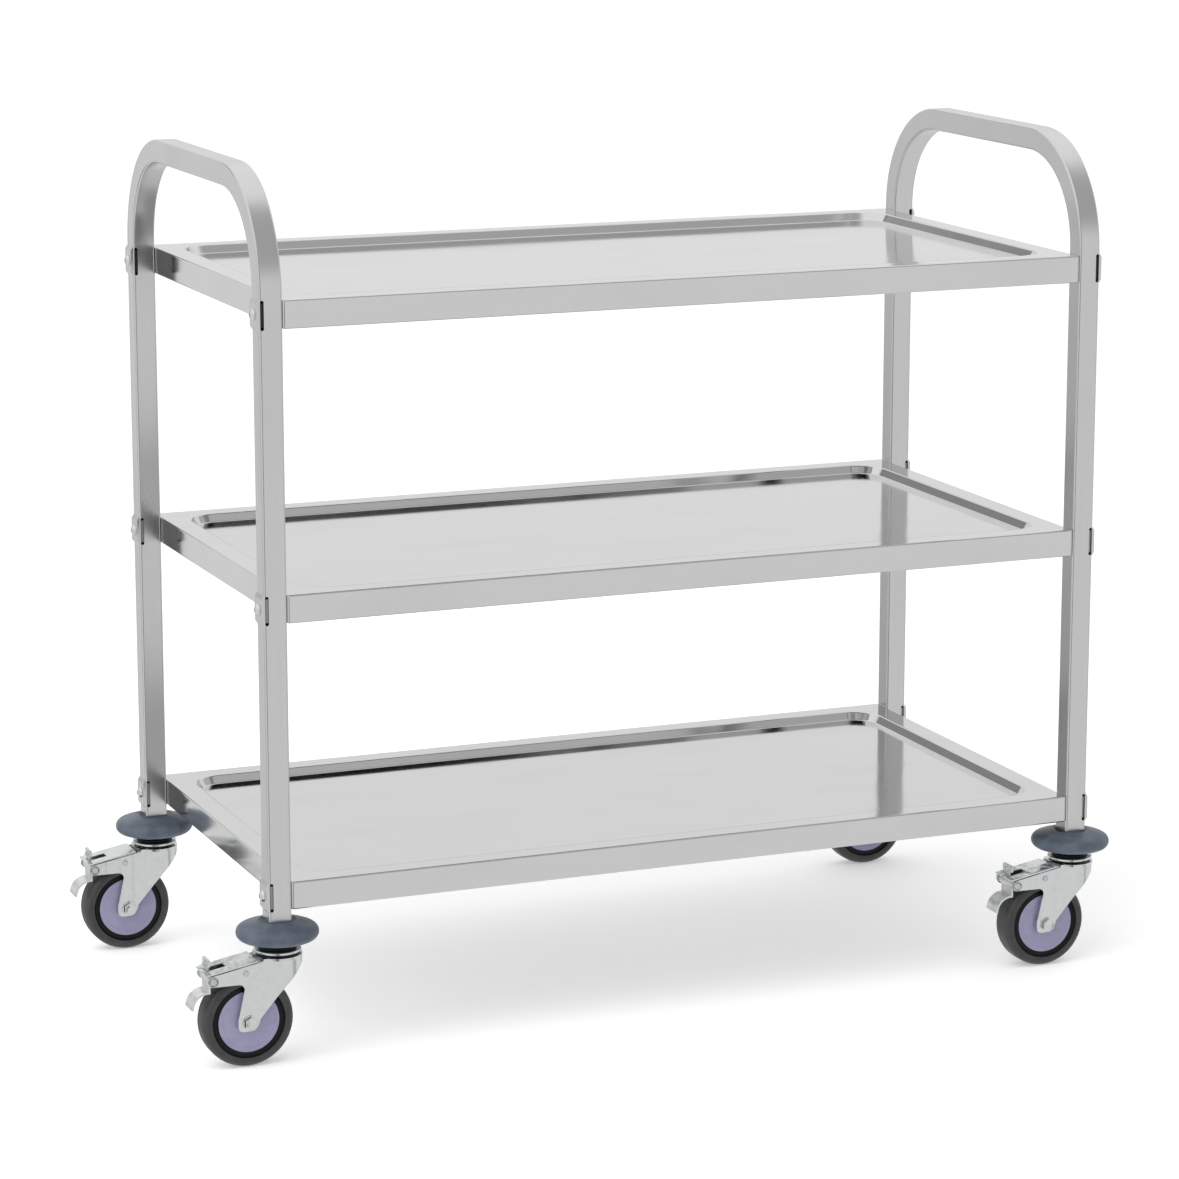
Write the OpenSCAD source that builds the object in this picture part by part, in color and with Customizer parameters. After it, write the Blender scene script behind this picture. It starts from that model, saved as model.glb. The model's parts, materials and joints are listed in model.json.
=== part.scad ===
// Three-shelf food service trolley in stainless steel, on four swivel casters.
// Two end frames, each one bent square tube, hold three pressed shelves between
// their posts. Every shelf corner is bolted through its post into the rim.
// X runs along the trolley, Y across it, Z up, and the floor is at Z = 0.

/* [Frame] */
// Length over the outer faces of the posts
frame_l = 970; // [800:10:1200]
// Width over the outer faces of the posts
frame_w = 482; // [400:2:600]
// Side of the square tube
tube = 25; // [20:1:32]
// Wall of the square tube
tube_wall = 1.2; // [1:0.1:2]
// Radius of the tube's long edges
tube_r = 2.5; // [2:0.5:4]
// Outer radius of the handle bends
bow_r = 125; // [90:5:155]
// Straight post between the top shelf and the handle bends
bow_lift = 5; // [4:1:60]

/* [Shelves] */
// Height from one shelf to the next
shelf_pitch = 307; // [240:1:360]
// Depth of the folded rim
rim_h = 30; // [25:1:38]
// Thickness of the shelf sheet
sheet = 1.2; // [0.8:0.1:1.5]
// Outer radius of the folds of the rim
rim_r = 2; // [1.8:0.1:3]
// Width of the flat flange round the pan
flange_w = 26; // [20:1:40]
// Depth of the pan below the flange
pan_depth = 9; // [5:1:12]
// Run of the sloping step down into the pan
step_run = 5; // [3:1:10]
// Corner radius of the pan
pan_r = 36; // [20:1:60]
// Width of the hem folded inwards under the rim
hem_w = 10; // [6:1:14]
// Relief hole where two rim folds meet
relief_d = 2.6; // [2:0.2:4]

/* [Bolted joints] */
// Diameter of the frame bolts
bolt_d = 6; // [5:1:8]
// Diameter of their domed heads
head_d = 13; // [11:0.5:16]
// Height of their domed heads
head_h = 4.2; // [3:0.1:6]
// Height of the raised pad on the outside of the post
pad_h = 33; // [26:1:40]
// Thickness of the raised pad
pad_t = 2.6; // [1:0.1:4]
// Slope at each end of the pad
pad_slope = 4; // [2:0.5:8]
// Height of the slots beside the pad
slot_h = 31; // [24:1:36]
// Width of the slots beside the pad
slot_w = 3.8; // [3:0.1:6]
// Height of the spacer block inside the tube
spacer_h = 25; // [18:1:30]
// Width of the captive nuts across their flats
nut_af = 10; // [8:0.5:13]
// Height of the captive nuts
nut_h = 5; // [4:0.5:8]

/* [Caster head] */
// Diameter of the round bumper
bumper_d = 88; // [70:1:110]
// Radius of the bumper's edge
bumper_edge = 7.5; // [5:0.5:8.5]
// Thickness of the bumper under the post
bumper_t = 20; // [18:1:30]
// Depth of the socket that the end of the post stands in
socket_depth = 2; // [1:0.5:6]
// Diameter of the caster stem
stem_d = 12; // [10:1:14]
// Length of the stem inside the post
stem_in = 14; // [10:1:40]
// Gap between the stem's plug and the spacer block above it
plug_gap = 1.5; // [1:0.5:30]
// Diameter of the swivel bearing's cup
cup_d = 50; // [44:1:60]
// Height of the cup
cup_h = 5; // [4.6:0.1:8]
// Diameter of the cup's neck, inside the seal
neck_d = 28; // [22:1:32]
// Diameter of the seal ring
seal_d = 41; // [36:1:44]
// Height of the seal ring
seal_h = 6; // [4:0.5:10]
// Gap between the cup and the fork
race_gap = 1.4; // [0.8:0.1:2]
// Diameter of the bearing balls
ball_d = 5; // [4:0.5:6]
// Balls in one bearing
ball_count = 16; // [10:1:20]

/* [Fork] */
// Room between the top of the wheel and the top of the fork
crown_gap = 18; // [16:1:30]
// Distance between the fork's cheeks
fork_in = 34.4; // [32:0.2:46]
// Thickness of the fork's sheet
fork_t = 2.5; // [2:0.1:4]
// How far the wheel's axle trails behind the swivel
trail = 37; // [28:1:45]
// Diameter of the fork's round crown
crown_d = 52; // [46:1:60]
// Distance that the fork's nose stands forward of the swivel
nose_x = 6; // [2:1:10]
// Rounded end of the leg round the axle
leg_r = 12; // [10:0.5:15]

/* [Wheel] */
// Diameter of the wheel
wheel_d = 100; // [80:1:125]
// Width of the tyre
wheel_w = 30; // [24:1:32]
// Radial thickness of the tyre
tyre_t = 13; // [9:1:16]
// Radius of the tyre's shoulders
shoulder_r = 8; // [4:0.5:8]
// Width of the hub over its faces
hub_w = 27; // [22:1:30]
// Gap round the hub's face, inside the tyre
groove_w = 3.5; // [2:0.5:5]
// Outer diameter of the axle sleeve
sleeve_d = 12; // [11:0.5:14]
// Diameter of the axle bolt
axle_d = 8; // [6:1:10]
// Width of the axle's head and nut across their flats
axle_af = 13; // [11:1:17]

/* [Brake] */
// Diameter of the pedal's pivot pin
pivot_d = 5; // [4:0.5:6]
// Diameter of the pin that anchors the brake strip
anchor_d = 4; // [3:0.5:5]
// Thickness of the brake strip
strip_t = 1.8; // [1.2:0.1:2.5]
// Width of the pedal
pedal_w = 24; // [18:1:28]
// Thickness of the pedal and its release tab
pedal_t = 2.2; // [1.6:0.1:3]
// Radius of the pedal's outer curve
pedal_r = 18.5; // [14:0.5:22]
// Width of the release tab's neck
tab_neck_w = 10; // [7:0.5:12]
// Width of the release tab's leaf
tab_leaf_w = 21; // [14:1:26]
// Height of the release tab above its pivot
tab_h = 21; // [18:1:26]

/* [Clearances] */
// Clearance on a bolt's diameter in a plain hole
hole_gap = 0.4; // [0.2:0.1:1]
// Clearance on a thread's diameter in its nut
thread_gap = 0.1; // [0.06:0.02:0.2]
// Clearance on the diameter of a running fit
run_gap = 0.1; // [0.06:0.02:0.16]
// Side gap of the blocks that slide into the tube
block_gap = 0.2; // [0.1:0.05:0.5]
// Gap between parts that pass each other
pass_gap = 0.4; // [0.3:0.05:1]

/* [Hidden] */
CORNERS = ["fl", "fr", "bl", "br"];
CASTER_PARTS = ["bumper", "stem", "cup", "fork", "strip", "pins", "axle", "sleeve",
                "hub", "tyre", "pedal", "tab"];
$fn = 48;
over = 1;                                   // how far a cut runs past a face

// Heights of the caster's parts, upwards from the floor
crown_z = wheel_d + crown_gap;              // top of the fork
crown_low = crown_z - fork_t;               // underside of the fork's crown
cup_z = crown_z + race_gap;                 // underside of the bearing cup
cup_top = cup_z + cup_h;                    // where the seal ring rests
collar_h = 1.6;                             // collar between the seal and the bumper
bumper_z = cup_top + seal_h + collar_h;     // underside of the bumper
post_z = bumper_z + bumper_t;               // end of the posts

// Heights of the shelves and of the joints
plug_h = stem_in + 1;                       // height of the plug that holds the stem
low_rise = plug_h + plug_gap + (spacer_h + rim_h) / 2;
shelf_z = [for (i = [0:2]) post_z + low_rise + i * shelf_pitch];
joint_z = [for (z = shelf_z) z - rim_h / 2];
bend_z = shelf_z[2] + bow_lift;             // where the handle bends start
frame_h = bend_z + bow_r;                   // top of the handles
post_x = (frame_l - tube) / 2;
post_y = (frame_w - tube) / 2;
shelf_l = frame_l - 2 * tube;
pan_l = shelf_l - 2 * flange_w;
pan_w = frame_w - 2 * flange_w;
corner_r = rim_r + 1;                       // plan radius of the rim's corners
spacer_w = tube - 2 * tube_wall - 2 * block_gap;
hole_d = bolt_d + hole_gap;

// Bearing
race_r = (neck_d + cup_d) / 4 - 1;          // radius of the circle of balls
race_w = ball_d + 0.6;                      // width of the raceway
race_depth = cup_h - 1;

// Fork, seen from the side: X forwards from the swivel, Z up from the floor
fork_half = fork_in / 2;
fork_out = fork_half + fork_t;
axle_z = wheel_d / 2;
pivot_x = -(trail + wheel_d / 2 - 10);
pivot_z = wheel_d - 0.5;
arm_r = 6;                                  // rounded end of the arm round the pivot
arm_top = pivot_z + arm_r;
anchor_x = -(trail + 4);
anchor_z = wheel_d + 4.6;
strip_x = -(crown_d / 2 + 1);               // front end of the strip
strip_end = pivot_x - 7.2;                  // rear end of the strip
strip_seam = 0.8;                           // seam between the strip and the cheeks
crown_back = 4 - crown_d / 2;               // rear edge of the crown's flat top
arm_rise = (crown_low - arm_top) / (crown_back - pivot_x);
arm_tilt = atan(arm_rise);                  // slope of the arm's top edge
pedal_cx = pivot_x - 3;                     // centre of the pedal's curve
pedal_cz = wheel_d - 32;
pedal_tip = pedal_r - pedal_cx;
pivot_tube_d = pivot_d + 4.6;               // tube that the pedal turns on
tab_x = pivot_x - 1.5;                      // middle of the release tab's plate

// The origin lies under the middle of the whole trolley
left_reach = max(pedal_tip, trail + wheel_d / 2);
shift_x = (left_reach - bumper_d / 2) / 2;

steel = [0.80, 0.80, 0.81];
steel_dark = [0.66, 0.67, 0.69];
zinc = [0.82, 0.85, 0.84];
slate = [0.33, 0.37, 0.43];
rubber_grey = [0.24, 0.24, 0.25];
hub_lilac = [0.60, 0.59, 0.71];
black = [0.08, 0.08, 0.09];

// ---------------------------------------------------------------- helpers

// Places what is drawn about the middle of the frame
module placed() {
    translate([shift_x, 0, 0]) children();
}

// Places what is drawn about a caster's swivel axis
module at_corner(c) {
    placed()
        translate([c[1] == "l" ? -post_x : post_x, c[0] == "f" ? -post_y : post_y, 0])
            children();
}

// Repeats what is drawn for the left end at both ends
module both_ends() {
    children();
    mirror([1, 0, 0]) children();
}

// Rectangle with round corners, about its middle
module round_rect(l, w, r) {
    square([l - 2 * r, w], center = true);
    square([l, w - 2 * r], center = true);
    for (x = [-1, 1], y = [-1, 1])
        translate([x * (l / 2 - r), y * (w / 2 - r)]) circle(r);
}

// Slot with round ends, upright
module obround(h, w) {
    square([w, h - w], center = true);
    for (y = [-1, 1]) translate([0, y * (h - w) / 2]) circle(d = w);
}

// Quarter of a ring, from +X to +Y
module quarter_ring(r, t) {
    intersection() {
        difference() {
            circle(r);
            circle(r - t);
        }
        square(r + over);
    }
}

// Sweeps a section round a rectangle with round corners. The section's X is the
// distance outwards from the rectangle, and its Y is the height.
module sweep_rect(l, w, r) {
    for (k = [0:3]) {
        along = k % 2 == 0 ? l : w;
        out = k % 2 == 0 ? w : l;
        rotate(90 * k) {
            translate([r - along / 2, out / 2, 0]) rotate([90, 0, 90])
                linear_extrude(along - 2 * r) children();
            translate([along / 2 - r, out / 2 - r, 0])
                rotate_extrude(angle = 90) translate([r, 0]) children();
        }
    }
}

// Draws a flat shape whose X and Y are the part's X and Z, w wide across Y
module across(w) {
    rotate([90, 0, 0]) linear_extrude(w, center = true) children();
}

// Pin or hole along Y
module cross_rod(d, w) {
    rotate([90, 0, 0]) cylinder(d = d, h = w, center = true);
}

// ---------------------------------------------------------------- end frames

// One tube bent to a frame: two posts and the handle, for a section of this size
module bent_tube(size, r, extra) {
    for (y = [-1, 1]) {
        translate([0, y * post_y, post_z - extra])
            linear_extrude(bend_z - post_z + extra) round_rect(size, size, r);
    }
    for (m = [0, 1]) mirror([0, m, 0])
        translate([0, frame_w / 2 - bow_r, bend_z]) rotate([90, 0, 90])
            rotate_extrude(angle = 90) translate([bow_r - tube / 2, 0])
                round_rect(size, size, r);
    translate([0, 0, frame_h - tube / 2]) rotate([90, 0, 0])
        linear_extrude(frame_w - 2 * bow_r, center = true) round_rect(size, size, r);
}

// Raised pad on the outside of a post, sloped at both ends
module joint_pad() {
    sink = tube_wall / 2;
    across(tube - tube_r)
        polygon([[sink, -pad_h / 2], [sink, pad_h / 2], [0, pad_h / 2],
                 [-pad_t, pad_h / 2 - pad_slope], [-pad_t, pad_slope - pad_h / 2],
                 [0, -pad_h / 2]]);
}

// The left end frame, with its outer face towards -X
module end_frame() {
    difference() {
        union() {
            translate([-post_x, 0, 0]) difference() {
                bent_tube(tube, tube_r, 0);
                bent_tube(tube - 2 * tube_wall, tube_r - tube_wall, over);
            }
            for (z = joint_z, y = [-1, 1])
                translate([-frame_l / 2, y * post_y, z]) joint_pad();
        }
        for (z = joint_z) {
            translate([-frame_l / 2 + tube_wall + slot_w / 2, 0, z])
                across(frame_w + 2 * over) obround(slot_h, slot_w);
            for (y = [-1, 1])
                translate([-post_x, y * post_y, z]) rotate([0, 90, 0])
                    cylinder(d = hole_d, h = tube + 4 * pad_t, center = true);
        }
    }
}

module left_frame() {
    color(steel) placed() end_frame();
}

module right_frame() {
    color(steel) placed() mirror([1, 0, 0]) end_frame();
}

// ---------------------------------------------------------------- shelves

// Section of the folded rim: its two folds and the wall between them
module rim_section() {
    translate([-rim_r, -rim_r]) quarter_ring(rim_r, sheet);
    translate([-rim_r, rim_r - rim_h]) mirror([0, 1]) quarter_ring(rim_r, sheet);
    translate([-sheet, rim_r - rim_h]) square([sheet, rim_h - 2 * rim_r]);
}

// Section of the step from the flange down into the pan
module step_section() {
    polygon([[0, 0], [-step_run, -pan_depth], [-step_run, -pan_depth - sheet],
             [sheet / 2 - step_run, -pan_depth - sheet], [sheet / 2, -sheet],
             [sheet / 2, 0]]);
}

// One pressed shelf, with the top of its flange at Z = 0
module shelf() {
    inner_l = shelf_l - 2 * rim_r;
    inner_w = frame_w - 2 * rim_r;
    difference() {
        union() {
            sweep_rect(shelf_l, frame_w, corner_r) rim_section();
            sweep_rect(pan_l, pan_w, pan_r) step_section();
            translate([0, 0, -sheet]) linear_extrude(sheet) difference() {
                round_rect(inner_l, inner_w, corner_r - rim_r);
                round_rect(pan_l, pan_w, pan_r);
            }
            translate([0, 0, -rim_h]) linear_extrude(sheet) difference() {
                round_rect(inner_l, inner_w, corner_r - rim_r);
                square([shelf_l - 2 * hem_w, frame_w - 2 * hem_w], center = true);
            }
            translate([0, 0, -pan_depth - sheet]) linear_extrude(sheet)
                round_rect(pan_l - 2 * step_run, pan_w - 2 * step_run, pan_r - step_run);
        }
        for (x = [-1, 1], y = [-1, 1]) {
            translate([x * (shelf_l / 2 - relief_d / 2), y * (frame_w / 2 - relief_d / 2),
                       -rim_r - over])
                cylinder(d = relief_d, h = rim_r + 2 * over);
            translate([x * shelf_l / 2, y * post_y, -rim_h / 2]) rotate([0, 90, 0])
                cylinder(d = hole_d, h = 4 * sheet, center = true);
        }
    }
}

module top_shelf() {
    color(steel) placed() translate([0, 0, shelf_z[2]]) shelf();
}

module middle_shelf() {
    color(steel) placed() translate([0, 0, shelf_z[1]]) shelf();
}

module lower_shelf() {
    color(steel) placed() translate([0, 0, shelf_z[0]]) shelf();
}

// ---------------------------------------------------------------- bolted joints

// Repeats a joint's part at all twelve joints: X inwards from the post's outer face
module at_joints() {
    placed() both_ends()
        for (z = joint_z, y = [-1, 1])
            translate([-frame_l / 2, y * post_y, z]) children();
}

// Domed bolt through the post and the rim into the captive nut
module frame_bolts() {
    shank = pad_t + tube + sheet + nut_h + 2;
    dome_r = (head_d * head_d / 4 + head_h * head_h) / (2 * head_h);
    color(steel_dark) at_joints() translate([-pad_t, 0, 0]) rotate([0, 90, 0])
        difference() {
            union() {
                cylinder(d = bolt_d, h = shank);
                intersection() {
                    translate([0, 0, dome_r - head_h]) sphere(dome_r);
                    translate([0, 0, -head_h]) cylinder(d = head_d, h = head_h);
                }
            }
            translate([0, 0, -head_h - over])
                cylinder(d = bolt_d * 0.7, h = head_h / 2 + over, $fn = 6);
        }
}

// Block inside the tube that keeps the bolt from crushing it
module joint_spacers() {
    color([0.6, 0.62, 0.64]) at_joints() translate([tube / 2, 0, 0]) difference() {
        linear_extrude(spacer_h, center = true)
            round_rect(spacer_w, spacer_w, tube_r - tube_wall);
        rotate([0, 90, 0]) cylinder(d = hole_d, h = tube, center = true);
    }
}

// Captive nut with a round flange behind the rim
module shelf_nuts() {
    flange_h = 1.2;
    flange_d = nut_af + 4;
    color(steel_dark) at_joints() translate([tube + sheet, 0, 0]) rotate([0, 90, 0])
        difference() {
            union() {
                cylinder(d = flange_d, h = flange_h);
                cylinder(d = nut_af / cos(30), h = nut_h, $fn = 6);
            }
            translate([0, 0, -over])
                cylinder(d = bolt_d + thread_gap, h = nut_h + 2 * over);
        }
}

// ---------------------------------------------------------------- caster heads

// Plugs with the threads for the stems, in the ends of the posts
module stem_plugs() {
    color(black) for (c = CORNERS) at_corner(c) translate([0, 0, post_z]) difference() {
        linear_extrude(plug_h) round_rect(spacer_w, spacer_w, tube_r - tube_wall);
        translate([0, 0, -over]) cylinder(d = stem_d + thread_gap, h = plug_h + 2 * over);
    }
}

// Black seal rings between the bumpers and the bearing cups
module seal_rings() {
    edge = 1.2;
    wall = (seal_d - neck_d - run_gap) / 2;
    color(black) for (c = CORNERS) at_corner(c)
        translate([0, 0, cup_top + seal_h / 2])
            rotate_extrude() translate([(seal_d - wall) / 2, 0])
                round_rect(wall, seal_h, edge);
}

// Rings of bearing balls under the cups
module bearing_balls() {
    color(steel_dark) for (c = CORNERS) at_corner(c)
        for (i = [0:ball_count - 1])
            rotate(i * 360 / ball_count)
                translate([race_r, 0, cup_z + race_depth - ball_d / 2]) sphere(d = ball_d);
}

// Round rubber bumper with a square socket for the end of the post
module bumper(c) {
    rim_x = bumper_d / 2 - bumper_edge;
    rim_mid = bumper_t / 2 - 1;
    flat_low = 24;
    flat_top = tube * 0.84;
    bore = stem_d + hole_gap;
    color(slate) at_corner(c) translate([0, 0, bumper_z]) difference() {
        rotate_extrude($fn = 96) {
            translate([rim_x, rim_mid]) circle(bumper_edge);
            polygon([[bore / 2, 0], [flat_low, 0], [rim_x, rim_mid - bumper_edge],
                     [rim_x, rim_mid + bumper_edge], [flat_top, bumper_t + socket_depth],
                     [bore / 2, bumper_t + socket_depth]]);
        }
        translate([0, 0, bumper_t])
            linear_extrude(socket_depth + over)
                round_rect(tube + pass_gap, tube + pass_gap, tube_r);
    }
}

// Stem: a rod up into the post, riveted over a flange under the fork's crown
module stem(c) {
    flange_d = stem_d * 2;
    flange_h = 3.2;
    flange_z = crown_low - pass_gap - flange_h;
    color(steel_dark) at_corner(c) {
        translate([0, 0, flange_z]) cylinder(d = flange_d, h = flange_h);
        translate([0, 0, flange_z]) cylinder(d = stem_d, h = post_z + stem_in - flange_z);
    }
}

// Pressed cup of the swivel bearing, with its raceway and neck
module cup(c) {
    fold = 1.5;
    color(zinc) at_corner(c) difference() {
        translate([0, 0, cup_z]) union() {
            cylinder(d = cup_d, h = cup_h - fold);
            rotate_extrude() {
                translate([cup_d / 2 - fold, cup_h - fold]) circle(fold);
                square([cup_d / 2 - fold, cup_h]);
            }
            cylinder(d = neck_d, h = cup_h + seal_h);
            translate([0, 0, cup_h + seal_h]) cylinder(d = neck_d + 6, h = collar_h);
        }
        translate([0, 0, cup_z - over])
            cylinder(d = stem_d + thread_gap, h = cup_h + seal_h + collar_h + 2 * over);
        translate([0, 0, cup_z - over]) rotate_extrude()
            translate([race_r - race_w / 2, 0]) square([race_w, race_depth + over]);
    }
}

// ---------------------------------------------------------------- forks

// Plan of the fork out to this half width: straight cheeks and a round nose
module fork_plan(half, tail) {
    translate([nose_x, 0]) circle(half);
    translate([pivot_x - arm_r - tail, -half])
        square([nose_x - pivot_x + arm_r + tail, 2 * half]);
}

// Side view of the fork: crown, sloping front, leg, trailing arm
module fork_side() {
    fillet = 6;
    nose_h = 7;                             // upright edge of the nose
    leg_x = -trail - 1.5;                   // middle of the leg's round end
    leg_z = axle_z + 3;
    knee_x = leg_x + leg_r + 19;            // where the sloping front meets the leg
    knee_z = wheel_d * 0.75;
    rear_x = -(trail + 6);                  // rear edge of the leg, at the top
    rear_z = wheel_d - 7;                   // underside of the arm at the leg
    front_x = nose_x + fork_out + over;
    polygon([[front_x, crown_z + over], [front_x, crown_z - nose_h],
             [knee_x, knee_z], [leg_x + leg_r, leg_z], [leg_x - leg_r, leg_z],
             [rear_x, rear_z - fillet], [rear_x, rear_z],
             [pivot_x - 1, pivot_z - arm_r], [pivot_x, arm_top],
             [crown_back, crown_low], [crown_back, crown_z + over]]);
    translate([leg_x, leg_z]) circle(leg_r);
    translate([pivot_x, pivot_z]) circle(arm_r);
    translate([rear_x - fillet, rear_z - fillet]) difference() {
        square(fillet + 0.5);
        circle(fillet);
    }
}

module fork(c) {
    color(zinc) at_corner(c) difference() {
        union() {
            intersection() {
                linear_extrude(crown_z, convexity = 4) difference() {
                    fork_plan(fork_out, 0);
                    fork_plan(fork_half, over);
                }
                across(2 * fork_out + 2 * over) fork_side();
            }
            translate([0, 0, crown_low]) {
                cylinder(d = crown_d, h = fork_t);
                linear_extrude(fork_t) intersection() {
                    fork_plan(fork_out, 0);
                    translate([crown_back, -crown_d]) square(2 * crown_d);
                }
            }
        }
        translate([0, 0, crown_low - over])
            cylinder(d = stem_d + run_gap, h = fork_t + 2 * over);
        translate([-trail, 0, axle_z]) cross_rod(axle_d + hole_gap / 2, 3 * fork_out);
        translate([pivot_x, 0, pivot_z]) cross_rod(pivot_d + thread_gap, 3 * fork_out);
        translate([anchor_x, 0, anchor_z]) cross_rod(anchor_d + thread_gap, 3 * fork_out);
    }
}

// Brake strip: the sloping plate over the arm, with its slot, shoe and two ears
module strip(c) {
    plate_w = 2 * fork_out - 1;
    slot_l = 22;                            // the slot that the release tab stands in
    slot_side = tab_neck_w + 6 * pass_gap;
    slot_back = pivot_x - tab_x + pedal_t / 2 + 2 * pass_gap;
    shoe_l = 8;
    shoe_h = 4;
    shoe_w = wheel_w * 0.7;
    ear_t = 1.4;
    ear_l = 16;
    ear_low = anchor_z - anchor_d / 2 - 1.2;
    color(zinc) at_corner(c) difference() {
        union() {
            // the plate and the shoe under it follow the arm's slope
            translate([pivot_x, 0, arm_top + strip_seam]) rotate([0, -arm_tilt, 0]) {
                difference() {
                    translate([strip_end - pivot_x, -plate_w / 2, 0])
                        cube([strip_x - strip_end, plate_w, strip_t]);
                    translate([-slot_back, -slot_side / 2, -over])
                        cube([slot_l, slot_side, strip_t + 2 * over]);
                }
                translate([slot_l + over, -shoe_w / 2, -shoe_h])
                    cube([shoe_l, shoe_w, shoe_h + strip_t / 2]);
            }
            for (s = [-1, 1])
                translate([anchor_x, s * (fork_half - block_gap - ear_t / 2), 0])
                    across(ear_t)
                        polygon([[-ear_l / 2, ear_low], [ear_l / 2, ear_low],
                                 [ear_l / 2, ear_top(ear_l / 2)],
                                 [-ear_l / 2, ear_top(-ear_l / 2)]]);
        }
        translate([anchor_x, 0, anchor_z]) cross_rod(anchor_d + thread_gap, 3 * fork_out);
    }
}

// Height of the strip's plate above the anchor, so that the ears run into it
function ear_top(x) =
    arm_top + strip_seam + strip_t / 2 + (anchor_x + x - pivot_x) * arm_rise;

// Headed cross pins: the pedal's pivot and the strip's anchor
module pins(c) {
    color(steel_dark) at_corner(c) {
        translate([pivot_x, 0, pivot_z]) headed_pin(pivot_d);
        translate([anchor_x, 0, anchor_z]) headed_pin(anchor_d);
    }
}

module headed_pin(d) {
    head_t = 0.3 * d;
    cross_rod(d, 2 * fork_out + head_t);
    for (s = [-1, 1])
        translate([0, s * (fork_out + head_t / 2), 0]) cross_rod(1.6 * d, head_t);
}

// Axle bolt through the fork and the sleeve, and the nut on its far end
module axle(c) {
    bolt_head = 5.3;
    nut = 6.8;
    thread_end = 2;                         // thread that shows beyond the nut
    color(zinc) at_corner(c) translate([-trail, 0, axle_z]) rotate([90, 0, 0]) {
        translate([0, 0, fork_out])
            cylinder(d = axle_af / cos(30), h = bolt_head, $fn = 6);
        translate([0, 0, -fork_out - nut - thread_end])
            cylinder(d = axle_d, h = 2 * fork_out + nut + thread_end);
        difference() {
            translate([0, 0, -fork_out - nut])
                cylinder(d = axle_af / cos(30), h = nut, $fn = 6);
            translate([0, 0, -fork_out - nut - over])
                cylinder(d = axle_d + thread_gap, h = nut + 2 * over);
        }
    }
}

// Steel sleeve between the cheeks, which the hub turns on
module sleeve(c) {
    color(steel_dark) at_corner(c) translate([-trail, 0, axle_z]) difference() {
        cross_rod(sleeve_d, fork_in);
        cross_rod(axle_d + hole_gap / 2, fork_in + 2 * over);
    }
}

// ---------------------------------------------------------------- wheels

seat_r = wheel_d / 2 - tyre_t;              // where the tyre sits on the hub
face_r = seat_r - groove_w / 2;             // edge of the hub's flat face

// Plastic hub: two flat faces, a rim under the tyre and a boss round the sleeve
module hub(c) {
    rim_w = hub_w - 7;
    boss_d = sleeve_d + 10;
    edge = 1.5;
    color(hub_lilac) at_corner(c) translate([-trail, 0, axle_z]) rotate([90, 0, 0])
        difference() {
            union() {
                rotate_extrude($fn = 96) {
                    square([seat_r, rim_w / 2]);
                    mirror([0, 1]) square([seat_r, rim_w / 2]);
                    square([face_r - edge, hub_w / 2]);
                    mirror([0, 1]) square([face_r - edge, hub_w / 2]);
                    square([face_r, hub_w / 2 - edge]);
                    mirror([0, 1]) square([face_r, hub_w / 2 - edge]);
                    for (s = [-1, 1])
                        translate([face_r - edge, s * (hub_w / 2 - edge)]) circle(edge);
                }
                cylinder(d = boss_d, h = fork_in - 3 * pass_gap, center = true);
            }
            cylinder(d = sleeve_d + run_gap, h = fork_in, center = true);
        }
}

// Rubber tyre with round shoulders, seated on the hub's rim
module tyre(c) {
    step = groove_w / 2 + 0.6;              // the bead stands back from the side here
    bead_w = wheel_w - 6;
    color(rubber_grey) at_corner(c) translate([-trail, 0, axle_z]) rotate([90, 0, 0])
        rotate_extrude($fn = 96) intersection() {
            round_rect(wheel_d, wheel_w, shoulder_r);
            union() {
                translate([seat_r, -bead_w / 2]) square([tyre_t, bead_w]);
                translate([seat_r + step, -wheel_w]) square([tyre_t, 2 * wheel_w]);
            }
        }
}

// ---------------------------------------------------------------- brake pedals

// Curved pedal on its pivot tube
module pedal(c) {
    color(zinc) at_corner(c) difference() {
        union() {
            translate([pivot_x, 0, pivot_z]) cross_rod(pivot_tube_d, fork_in - 2 * pass_gap);
            across(pedal_w) {
                translate([pedal_cx, pedal_cz]) mirror([1, 0]) quarter_ring(pedal_r, pedal_t);
                translate([pedal_cx, pedal_cz + pedal_r - pedal_t])
                    square([pedal_t, pivot_z - pedal_cz - pedal_r]);
            }
        }
        translate([pivot_x, 0, pivot_z]) cross_rod(pivot_d + run_gap, fork_in);
    }
}

// Leaf-shaped release tab, standing up through the slot in the strip
module tab(c) {
    leaf_z = 11.5;                          // where the leaf starts to widen
    leaf_r = 3;
    neck = tab_neck_w / 2;
    half = tab_leaf_w / 2;
    color(zinc) at_corner(c) translate([pivot_x, 0, pivot_z]) difference() {
        translate([tab_x - pivot_x, 0, 0]) rotate([90, 0, 90])
            linear_extrude(pedal_t, center = true) {
                polygon([[-neck, 0], [neck, 0], [neck, leaf_z], [half, leaf_z + 2],
                         [half, tab_h - leaf_r], [half - leaf_r, tab_h],
                         [leaf_r - half, tab_h], [-half, tab_h - leaf_r],
                         [-half, leaf_z + 2], [-neck, leaf_z]]);
                for (s = [-1, 1])
                    translate([s * (half - leaf_r), tab_h - leaf_r]) circle(leaf_r);
            }
        cross_rod(pivot_tube_d, tab_leaf_w);
    }
}

// ---------------------------------------------------------------- the trolley

left_frame();
right_frame();
top_shelf();
middle_shelf();
lower_shelf();
frame_bolts();
joint_spacers();
shelf_nuts();
stem_plugs();
seal_rings();
bearing_balls();
for (c = CORNERS) {
    bumper(c);
    stem(c);
    cup(c);
    fork(c);
    strip(c);
    pins(c);
    axle(c);
    sleeve(c);
    hub(c);
    tyre(c);
    pedal(c);
    tab(c);
}
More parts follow.
